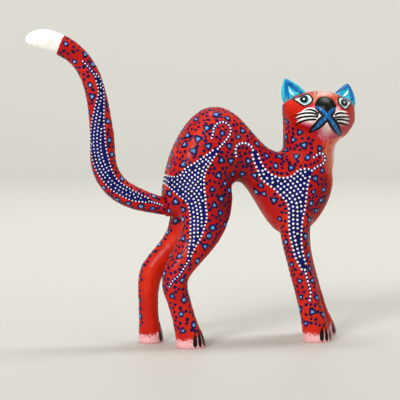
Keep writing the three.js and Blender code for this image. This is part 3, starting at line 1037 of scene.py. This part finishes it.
def band_dots(paint, band, distance, sides):
    """White dots: single rows along a band's thin lines, one row round its outline, and rows inside it
    that keep to one edge. distance is that of the surface's points to the band."""
    surface, pitch = paint.surface, band.pitch
    rows = []
    for side in sides:
        for line in band.lines:
            rows.append(even_points(surface.trace(side, line, 0.3), pitch * 0.9, fit=True))
    rows.extend(surface.level_rows(distance, -FIRST_ROW, pitch))
    edge = smooth_line(band.outline[band.outline.index(band.edge_start) :], 1.0)
    near, far = (line_distance(side.chart(surface.places), edge) for side in sides)
    away = np.where(surface.places[:, 1] < MIDDLE_Y, near, far)
    inside = distance < -FIRST_ROW - 0.7 * pitch
    for level in np.arange(FIRST_ROW + pitch, WIDEST_BAND, pitch):
        rows.extend(surface.level_rows(away, level, pitch, inside))
    placed = thinned([tuple(p) for row in rows for p in row], pitch * ROW_GAP)
    gaps = [tuple(p) for p in surface.places[distance < BARE_NAVY]]
    rng.shuffle(gaps)
    placed += thinned(gaps, pitch * FILL_GAP, placed)
    for p in placed:
        size = float(np.interp(p[0], RADII_X, band.radii)) * rng.uniform(0.92, 1.07)
        paint.spot(Vector(p), oval(size, 12, 1.0, 0.02), WHITE_RISE, steps=DOT_STEPS)


SAMPLES = 50000
HEART_CLEAR, DOT_CLEAR = 2.0, 0.85  # from the edge of the free red to the middle of a mark
HEART_GAP = 4.8  # the least between planned hearts
HEART_SIZES = (0.82, 1.12)  # the least and most of the size that is asked for
DOT_RADII = (0.95, 1.27)
DOT_STRETCH = (0.85, 1.22)
HEART_REACH = 0.7  # how far a heart keeps dots away, in its sizes, before the margin
DOT_MARGIN = 1.05


class Pattern:
    """Navy-ringed blue hearts and navy dots over one piece's red."""

    def __init__(self, surface, free, seed):
        self.navy = Paint(f"{surface.body}_navy_marks", surface, marks_paint)
        self.sky = Paint(f"{surface.body}_blue_hearts", surface, sky_paint)
        self.spots, faces = surface.samples(SAMPLES, seed)
        self.free = free[surface.faces[faces]].min(1)

    def open_ground(self, gap):
        """Random places further than a gap inside the free red."""
        return [tuple(p) for p in self.spots[self.free > gap]]

    def draw(self, sides, planned, size, spread, round_share):
        """Draws the planned hearts on both sides, more hearts a spread apart, and dots elsewhere."""
        drop = self.navy.surface.drop
        hearts = thinned([tuple(drop(side, *place)) for side in sides for place in planned], HEART_GAP)
        hearts += thinned(self.open_ground(HEART_CLEAR), spread, hearts)
        for centre in hearts:
            self.heart(centre, size * rng.uniform(*HEART_SIZES), rng.random() < round_share)
        for p in thinned(self.open_ground(DOT_CLEAR), DOT_PITCH):
            if min(math.dist(p, centre) for centre in hearts) > HEART_REACH * size + DOT_MARGIN:
                dot = oval(rng.uniform(*DOT_RADII), 11, rng.uniform(*DOT_STRETCH), 0.07)
                self.navy.spot(Vector(p), dot, NAVY_RISE)
        self.navy.make()
        self.sky.make()

    def heart(self, centre, size, is_round):
        turn = rng.uniform(0, math.tau)
        if is_round:
            outer, inner = oval(size * 0.8, 14, 1.1, 0.07), oval(size * 0.37, 12, 1.05, 0.06)
        else:
            outer, inner = heart(size, turn, 0.2), heart(size * 0.38, turn, 0.35)
        self.navy.spot(Vector(centre), outer, NAVY_RISE)
        self.sky.spot(Vector(centre), inner, SKY_RISE, base=NAVY_RISE - LAP)


# ---- the pieces ----

# A round hole between two distances along its axis from foot. fill is the stretch of it that lies in
# wood, with a little to spare, which is filled while the wood is sanded and then cut again. The filling
# is wider than the hole by spare voxels.
Hole = namedtuple("Hole", "foot axis radius low high fill spare", defaults=(1,))

PEG_PLAY = 0.15
END_GAP = 0.3
SEAT_RADIUS = 5.7  # of the round pocket that the tail's end stands in
OUT = 20  # far enough out to be clear of the wood


class Peg:
    """A CAD dowel's middle line."""

    def __init__(self, node, joint):
        places = arrays(frame["nodes"][node].data)[0]
        self.middle = (places.max(0) + places.min(0)) / 2
        self.axis = np.array(joints[joint]["axis"])
        away = places - self.middle
        self.half = (away @ self.axis).max()
        self.radius = np.linalg.norm(np.cross(away, self.axis), axis=1).max()

    def hole(self, low, high, fill):
        return Hole(self.middle, self.axis, self.radius + PEG_PLAY, low, high, fill)

    def hole_inwards(self, fill_to):
        """The hole in the body: from the dowel's inner end outwards."""
        return self.hole(-self.half - END_GAP, OUT, (-self.half - 1, fill_to))

    def hole_outwards(self, fill_from):
        """The hole in the piece that the dowel holds."""
        return self.hole(-self.half, self.half + END_GAP, (fill_from, self.half + 1))


TAIL_PEG = Peg("tail_peg", "tail_pull")
EAR_PEGS = {side: Peg(f"ear_peg_{side}", f"ear_{side}_pull") for side in ("left", "right")}
TAIL_SEAT = np.array(joints["tail_turn"]["pos_m"]) / MM
BODY_HOLES = [
    TAIL_PEG.hole_inwards(fill_to=1.5),
    Hole(TAIL_SEAT, TAIL_PEG.axis, SEAT_RADIUS, -END_GAP, OUT, (-2.4, -END_GAP), 0),
    *(peg.hole_inwards(fill_to=0.3) for peg in EAR_PEGS.values()),
]
BODY_VOXEL, TAIL_VOXEL, EAR_VOXEL = 0.75, 0.6, 0.32
SOLE = 0.6  # lower than this the feet are cut flat


def make_body():
    piece = start_piece("carved_body", "body", BODY_VOXEL, BODY_HOLES)
    places, _, edges = arrays(piece.data)
    places = sand(places, edges, rounds=8)
    places = fill_creases(places, put_back(piece.data, places), edges, rounds=70, reach=5)
    places = sand(places, edges, rounds=4)
    normals = put_back(piece.data, places)
    places = knife_marks(shape_face(places, normals), normals, depth=0.14, seed=3.0)
    places[:, 2] = np.where(places[:, 2] < SOLE, 0, places[:, 2])
    put_back(piece.data, places)
    for hole in BODY_HOLES:
        bore(piece, hole)
    return piece


def rising(values, low, span):
    """0 up to low, then evenly up to 1 over a span. A negative span rises downwards from low."""
    return np.clip((values - low) / span, 0, 1)


def shape_face(places, normals):
    """Brings the nose and muzzle forward, sets the eyes back and squares the head's upper corners."""
    x, _, z = places.T
    chart = NEAR.chart(places)
    head = rising(z, HEAD_Z, 6) * (x > HEAD_X)
    facing = np.clip(normals @ NEAR.out, 0, 1) * head
    places = places + NEAR.out * (bells(chart, FACE_SHAPE) * facing)[:, None]
    for field in HEAD_CORNERS:
        weight = gauss(chart, field) * head * np.clip(normals @ NEAR.out + 0.7, 0, 1)
        ahead, up, out = field[4:]
        shift = NEAR.along * ahead + NEAR.out * out + np.array([0, 0, up])
        places = places + weight[:, None] * shift
    return places


FACE_FADE = 2  # from the face's edge to where its paint is full
TOE_PINK = 2.2  # the pink is this much higher on the toes
PINK_TOP = 8  # no dots are lower than this
INNER_TOP = 84  # the legs' inner faces are bare of dots up to it
THROAT_Z = (60, 75, 98, 106)  # heights, and how far from the middle the stripe reaches there
THROAT_REACH = (6, 8.5, 10.5, 13)
THROAT_TOP = 122


def keep_body_paint(mesh):
    """Keeps the broad paint's outlines and the painted shade on the mesh. Returns the distances to the
    two bands, and to the edge of the red that is free for dots, negative outside it."""
    places, normals, _ = arrays(mesh)
    x, y, z = places.T
    ahead, across, up = normals.T
    hind, fore = (band_distance(band, (NEAR, FAR), places, normals) for band in (HAUNCH, FORE))
    band = np.minimum(hind, fore)
    chart = NEAR.chart(places)
    on_face = (z > FACE_Z) & (x > FACE_X) & (normals @ NEAR.out > -0.3)
    outline = smooth_line(FACE_EDGE, 2, closed=True)
    face = np.where(on_face, area_distance(chart, outline), FAR_AWAY)
    within = np.clip(-face / FACE_FADE, 0, 1)
    pale = np.clip(bells(chart, PALE_FIELDS), 0, 1.1) * within
    throat = np.maximum(throat_paint(places, normals), bells(chart, BROW_FIELDS) * within)
    height = z - TOE_PINK * np.clip(ahead * 1.5, 0, 1)
    # the painted shade is kept on the mesh with the paint's outlines
    keep(mesh, band=band, pale=pale, throat=throat, height=height, shade=shade(places, normals))
    inner = np.where(z < INNER_TOP, (0.7 - across * np.sign(MIDDLE_Y - y)) * 6, FAR_AWAY)
    belly = (up + 0.4) * 12
    limits = [band, face - 0.4, z - PINK_TOP, (0.35 - throat) * 12, inner, belly]
    return hind, fore, np.minimum.reduce(limits)


def throat_paint(places, normals):
    """A pale stripe down the front of the neck and breast."""
    x, y, z = places.T
    reach = np.interp(z, THROAT_Z, THROAT_REACH)
    stripe = np.clip(1.5 - np.abs(y - MIDDLE_Y) / reach, 0, 1)
    span = rising(z, THROAT_Z[0], 8) * rising(z, THROAT_TOP, -4)
    return stripe * span * np.clip(normals[:, 0] * 4, 0, 1) * (x > BREAST_X)


def shade(places, normals):
    """How much painted shade darkens the red: more at the waist, on the breast and underneath, where the
    surface faces down.
    """
    painted_shade_bells = bells(NEAR.chart(places), PAINTED_SHADE_FIELDS)
    # painted shade under things: surfaces that face down are darker
    return 0.1 + painted_shade_bells + 0.4 * np.clip(-normals[:, 2], 0, 1)


def paint_body(piece):
    """All the small paint on the carving, the bands' dots first."""
    hind, fore, free = keep_body_paint(piece.data)
    surface = Surface(piece, "carving")
    sides = (NEAR, FAR)
    white = Paint("band_dots", surface, white_paint)
    band_dots(white, HAUNCH, hind, sides)
    band_dots(white, FORE, fore, sides)
    white.make()
    planned = [place for group in HEARTS.values() for place in group]
    Pattern(surface, free, seed=3).draw(sides, planned, size=2.9, spread=7.6, round_share=0.2)
    paint_face(surface)
    paint_claws(surface)


def paint_face(surface):
    """The face's coats, from the eyes' rims up. A small step between strokes keeps them apart."""
    coats = (
        ("face_black_lines", black_paint), ("nose", black_paint), ("face_white_paint", white_paint),
        ("irises", aqua_paint), ("iris_rings", teal_paint), ("pupils", black_paint),
        ("brow_strokes", umber_paint), ("mouth_blue_paint", mouth_paint),
    )
    paints = [Paint(name, surface, coat) for name, coat in coats]
    black, nose, light, iris, ring, pupil, brow, mouth = paints
    nose.patch(NEAR, NOSE, NOSE_RISE)
    for eye in EYES.values():
        black.patch(NEAR, eye["rim"], RISE[0])
        light.patch(NEAR, eye["white"], RISE[1], RISE[0] - LAP)
        inside = smooth_line(eye["white"], 0.5, closed=True)
        rounds = zip((iris, ring, pupil, light), EYE_ROUNDS)
        for k, (paint, size) in enumerate(rounds, 2):
            outline = disc(eye["iris"], eye["size"] * size, inside)
            paint.patch(NEAR, outline, RISE[k], RISE[k - 1] - LAP)
    for k, line in enumerate(WHISKER_LIGHTS):
        light.stroke(surface.trace(NEAR, line), LIGHT_WIDTHS, RISE[0] + 0.01 * (k % 2))
    for line in WHISKERS:
        black.stroke(surface.trace(NEAR, line), WHISKER_WIDTHS, RISE[1] + 0.04)
    for line in BROW_STROKES:
        brow.stroke(surface.trace(NEAR, line, 0.4), BROW_WIDTHS, RISE[0] * 0.6)
    for k, (name, arm) in enumerate(MOUTH.items()):
        outer, inner, cut = MOUTH_WIDTHS[name.split("_")[0]]
        path = surface.trace(NEAR, arm)
        black.stroke(path, outer, RISE[1] + 0.015 * k)
        mouth.stroke(path[:-cut], inner, RISE[3] + 0.015 * k, RISE[1] - LAP)
    for paint in paints:
        paint.make()


DISC_SIDES = 32
DISC_MARGIN = 0.12  # the least from a disc's edge to the outline that holds it


def disc(centre, radius, inside):
    """A round outline, held inside another."""
    made = []
    for angle in np.linspace(0, math.tau, DISC_SIDES, endpoint=False):
        way = np.array([math.cos(angle), math.sin(angle)])
        reach = radius
        while reach > 0.3 and area_distance((centre + way * reach)[None], inside)[0] > -DISC_MARGIN:
            reach -= 0.1
        made.append(tuple(centre + way * reach))
    return made


# The feet's middles, x and y, and which way the claws point, in degrees from straight ahead.
FEET = {
    "right_hind": (-5, -7.7, -48), "left_hind": (-23, 15.3, -8), "right_fore": (70.8, -6.7, -50),
    "left_fore": (82.2, 15.3, -8),
}
CLAW_SPREAD = (-39, -13, 13, 39)
CLAW_WIDTHS = (2.4, 3.1, 2.5, 0.5)
CLAW_LOW, CLAW_TOP = 0.9, 9.2
REACH = 12  # further out than a foot's edge


def paint_claws(surface):
    """Black strokes up the toes, each ending at its own height."""
    claws = Paint("claws", surface, black_paint)
    for x, y, ahead in FEET.values():
        for spread in CLAW_SPREAD:
            angle = math.radians(ahead + spread)
            way = Vector((math.cos(angle), math.sin(angle), 0))
            points = []
            for height in np.arange(CLAW_LOW, CLAW_TOP + rng.uniform(-1.2, 1.0), 0.6):
                hit = surface.cast(Vector((x, y, height)) + way * REACH, -way)
                if hit:
                    points.append(hit)
            claws.stroke(points, CLAW_WIDTHS, RISE[1])
    claws.make()


def make_tail():
    hole = TAIL_PEG.hole_outwards(fill_from=3)
    piece = start_piece("carved_tail", "tail", TAIL_VOXEL, [hole])
    places, normals, edges = arrays(piece.data)
    places = sand(places, edges, rounds=8)
    put_back(piece.data, knife_marks(places, normals, depth=0.12, seed=11.0))
    bore(piece, hole)
    return piece


def paint_tail(piece):
    """The tail's broad paint, and its dots and hearts."""
    sides = (NEAR, FAR_TAIL)
    places, normals, _ = arrays(piece.data)
    band = band_distance(TAIL, sides, places, normals)
    start, end = np.array(TAIL_TIP)
    across = np.array([end[1] - start[1], start[0] - end[0]]) / np.linalg.norm(end - start)
    tip = (start - NEAR.chart(places)) @ across
    # the tail's red carries painted shade too
    keep(piece.data, band=band, tip=tip, shade=shade(places, normals))
    surface = Surface(piece, "tail")
    white = Paint("tail_dots", surface, white_paint)
    band_dots(white, TAIL, band, sides)
    white.make()
    pattern = Pattern(surface, np.minimum(band, tip - 0.5), seed=5)
    pattern.draw(sides, TAIL_HEARTS, size=2.7, spread=6.8, round_share=0.7)


def make_ear(name, side, body):
    """An ear, fitted to the head that it stands on, with its strokes."""
    hole = EAR_PEGS[side].hole_outwards(fill_from=1.8)
    piece = start_piece(f"carved_{name}", name, EAR_VOXEL, [hole])
    places, _, edges = arrays(piece.data)
    places = sand(places, edges, rounds=6)
    push = bells(NEAR.chart(places), [EAR_SHAPE[name]])
    put_back(piece.data, places + NEAR.along * push[:, None])
    bore(piece, hole)
    cut_away(piece, body)
    surface = Surface(piece, name)
    blue = Paint(f"{name}_blue_strokes", surface, blue_paint)
    for k, line in enumerate(EAR_MARKS[name]["blue"]):
        blue.stroke(surface.trace(NEAR, line, 0.4), BLUE_WIDTHS, RISE[0] + 0.02 * k)
    light = Paint(f"{name}_light_stroke", surface, white_paint)
    light.stroke(surface.trace(NEAR, EAR_MARKS[name]["white"], 0.4), EAR_LIGHT_WIDTHS, RISE[0])
    blue.make()
    light.make()
    return piece


def finish_piece(piece, coat, body, node):
    """Gives a carved piece its paint and its body, and hides the CAD node that it stands for."""
    piece.data.materials.clear()
    piece.data.materials.append(coat.material)
    shade_smooth(piece)
    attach(piece, body)
    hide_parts(node)


# ---- the room ----

CAMERA_RISE = math.radians(4)
CAMERA_AIM = Vector((2.978, MIDDLE_Y, 82.4))  # puts the figure where it is in the photo
CAMERA_DISTANCE = 0.8  # metres
LENS, SENSOR = 126.3, 36


def make_camera():
    """A long lens, a little above level and to the left of square on."""
    data = bpy.data.cameras.new("camera")
    data.lens, data.sensor_width = LENS, SENSOR
    data.clip_end = 20
    camera = new_object("camera", data)
    level = math.cos(CAMERA_RISE)
    back = Vector((
        math.sin(SIDE_TURN) * level, -math.cos(SIDE_TURN) * level, math.sin(CAMERA_RISE)
    ))
    camera.location = CAMERA_AIM * MM + back * CAMERA_DISTANCE
    camera.rotation_mode = "QUATERNION"
    camera.rotation_quaternion = (-back).to_track_quat("-Z", "Y")
    bpy.context.scene.camera = camera


def area_light(name, place, aim, size, power, tint=(1, 1, 1)):
    data = bpy.data.lights.new(name, "AREA")
    data.shape = "DISK"
    data.size = size
    data.energy = power
    data.color = tint
    light = new_object(name, data)
    light.location = place
    light.rotation_euler = (Vector(aim) - Vector(place)).to_track_quat("-Z", "Y").to_euler()


SWEEP_SIDES = 64
FLAT, BEND, WALL_TOP = 1.8, 0.9, 2.1  # in metres: the floor's flat radius, its bend's, the wall's height


def sweep_profile():
    """Distance out and height, from the floor to the top of the wall."""
    bend = np.linspace(0.15, math.pi / 2, 10)
    curve = [(FLAT + BEND * math.sin(a), BEND - BEND * math.cos(a)) for a in bend]
    return [(FLAT / 3, 0), (FLAT, 0), *curve, (FLAT + BEND, WALL_TOP)]


def make_sweep():
    """A pale floor that curves up into a wall all round, so that it has no horizon."""
    turns = [math.tau * k / SWEEP_SIDES for k in range(SWEEP_SIDES)]
    profile = sweep_profile()
    points = [(r * math.cos(t), r * math.sin(t), z) for r, z in profile for t in turns]
    faces = [tuple(range(SWEEP_SIDES))]
    for row in range(len(profile) - 1):
        for k in range(SWEEP_SIDES):
            a, b = row * SWEEP_SIDES + k, row * SWEEP_SIDES + (k + 1) % SWEEP_SIDES
            faces.append((a, a + SWEEP_SIDES, b + SWEEP_SIDES, b))
    mesh = bpy.data.meshes.new("floor")
    mesh.from_pydata(points, [], faces)
    floor = new_object("floor", mesh)
    shade_smooth(floor)
    look = Look("pale_floor")
    look.fill(look.shader, {"Base Color": colour("cfcec8"), "Roughness": 0.55})
    mesh.materials.append(look.material)
    floor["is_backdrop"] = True


def make_light():
    """One large soft lamp from the left, a weak fill, a lit wall and a pale sky."""
    world = bpy.data.worlds.new("world")
    bpy.context.scene.world = world
    world.use_nodes = True
    sky = world.node_tree.nodes["Background"]
    sky.inputs["Color"].default_value = colour("fafaf6")
    sky.inputs["Strength"].default_value = 0.4
    aim = (0, 0, 0.08)
    area_light("key", (-1.5, -1.6, 1.3), aim, size=0.8, power=42, tint=(1, 0.99, 0.97))
    area_light("fill", (1.5, -1.5, 0.7), aim, size=1.2, power=2)
    area_light("backdrop", (0.3, 0.2, 1.9), (0.3, 2.7, 0.5), size=1.2, power=40)
    bpy.context.scene.view_settings.view_transform = "Standard"


marks_paint = paint_coat("navy_paint", "dark_navy_paint", MARK_NAVY, MARK_INK, 2.5)
sky_paint = paint_coat("light_blue_paint", "sky_blue_paint", SKY, PALE_SKY, 1.2, share=(0.4, 0.62))
white_paint = paint_coat("white_paint", "white_paint", WHITE, BONE)
black_paint = paint_coat("black_paint", "gloss_black_paint", BLACK, GREEN_BLACK, 3, (0.28, 0.4))
umber_paint = paint_coat("black_paint", "umber_paint", UMBER, BLACK)
blue_paint = paint_coat("light_blue_paint", "cerulean_paint", CERULEAN, DEEP_CERULEAN, 2.4)
mouth_paint = paint_coat(
    "light_blue_paint", "mouth_blue_paint", MOUTH_BLUE, STREAK_BLUE, 1.3, share=(0.52, 0.72)
)
aqua_paint = paint_coat("light_blue_paint", "aqua_paint", AQUA, WHITE, 1.5)
teal_paint = paint_coat("light_blue_paint", "teal_paint", TEAL, DARK_TEAL, 1.0)
turquoise_paint = paint_coat("painted_ears", "turquoise_paint", TURQUOISE, DEEP_TURQUOISE, 3.5)
bare_wood = bare_wood_look()

make_camera()
make_sweep()
make_light()

body = make_body()
paint_body(body)
finish_piece(body, Coat(body_look(), "painted_body"), "carving", "body")
tail = make_tail()
paint_tail(tail)
finish_piece(tail, Coat(tail_look(), "painted_tail"), "tail", "tail")
for side in ("left", "right"):
    name = f"ear_{side}"
    finish_piece(make_ear(name, side, body), turquoise_paint, name, name)
for node in ("tail_peg", "ear_peg_left", "ear_peg_right"):
    data = frame["nodes"][node].data
    data.materials.clear()
    data.materials.append(bare_wood)

boxes = {"cad": cad_box, "visual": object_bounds()}
{name: [list(corner) for corner in box] for name, box in boxes.items()}
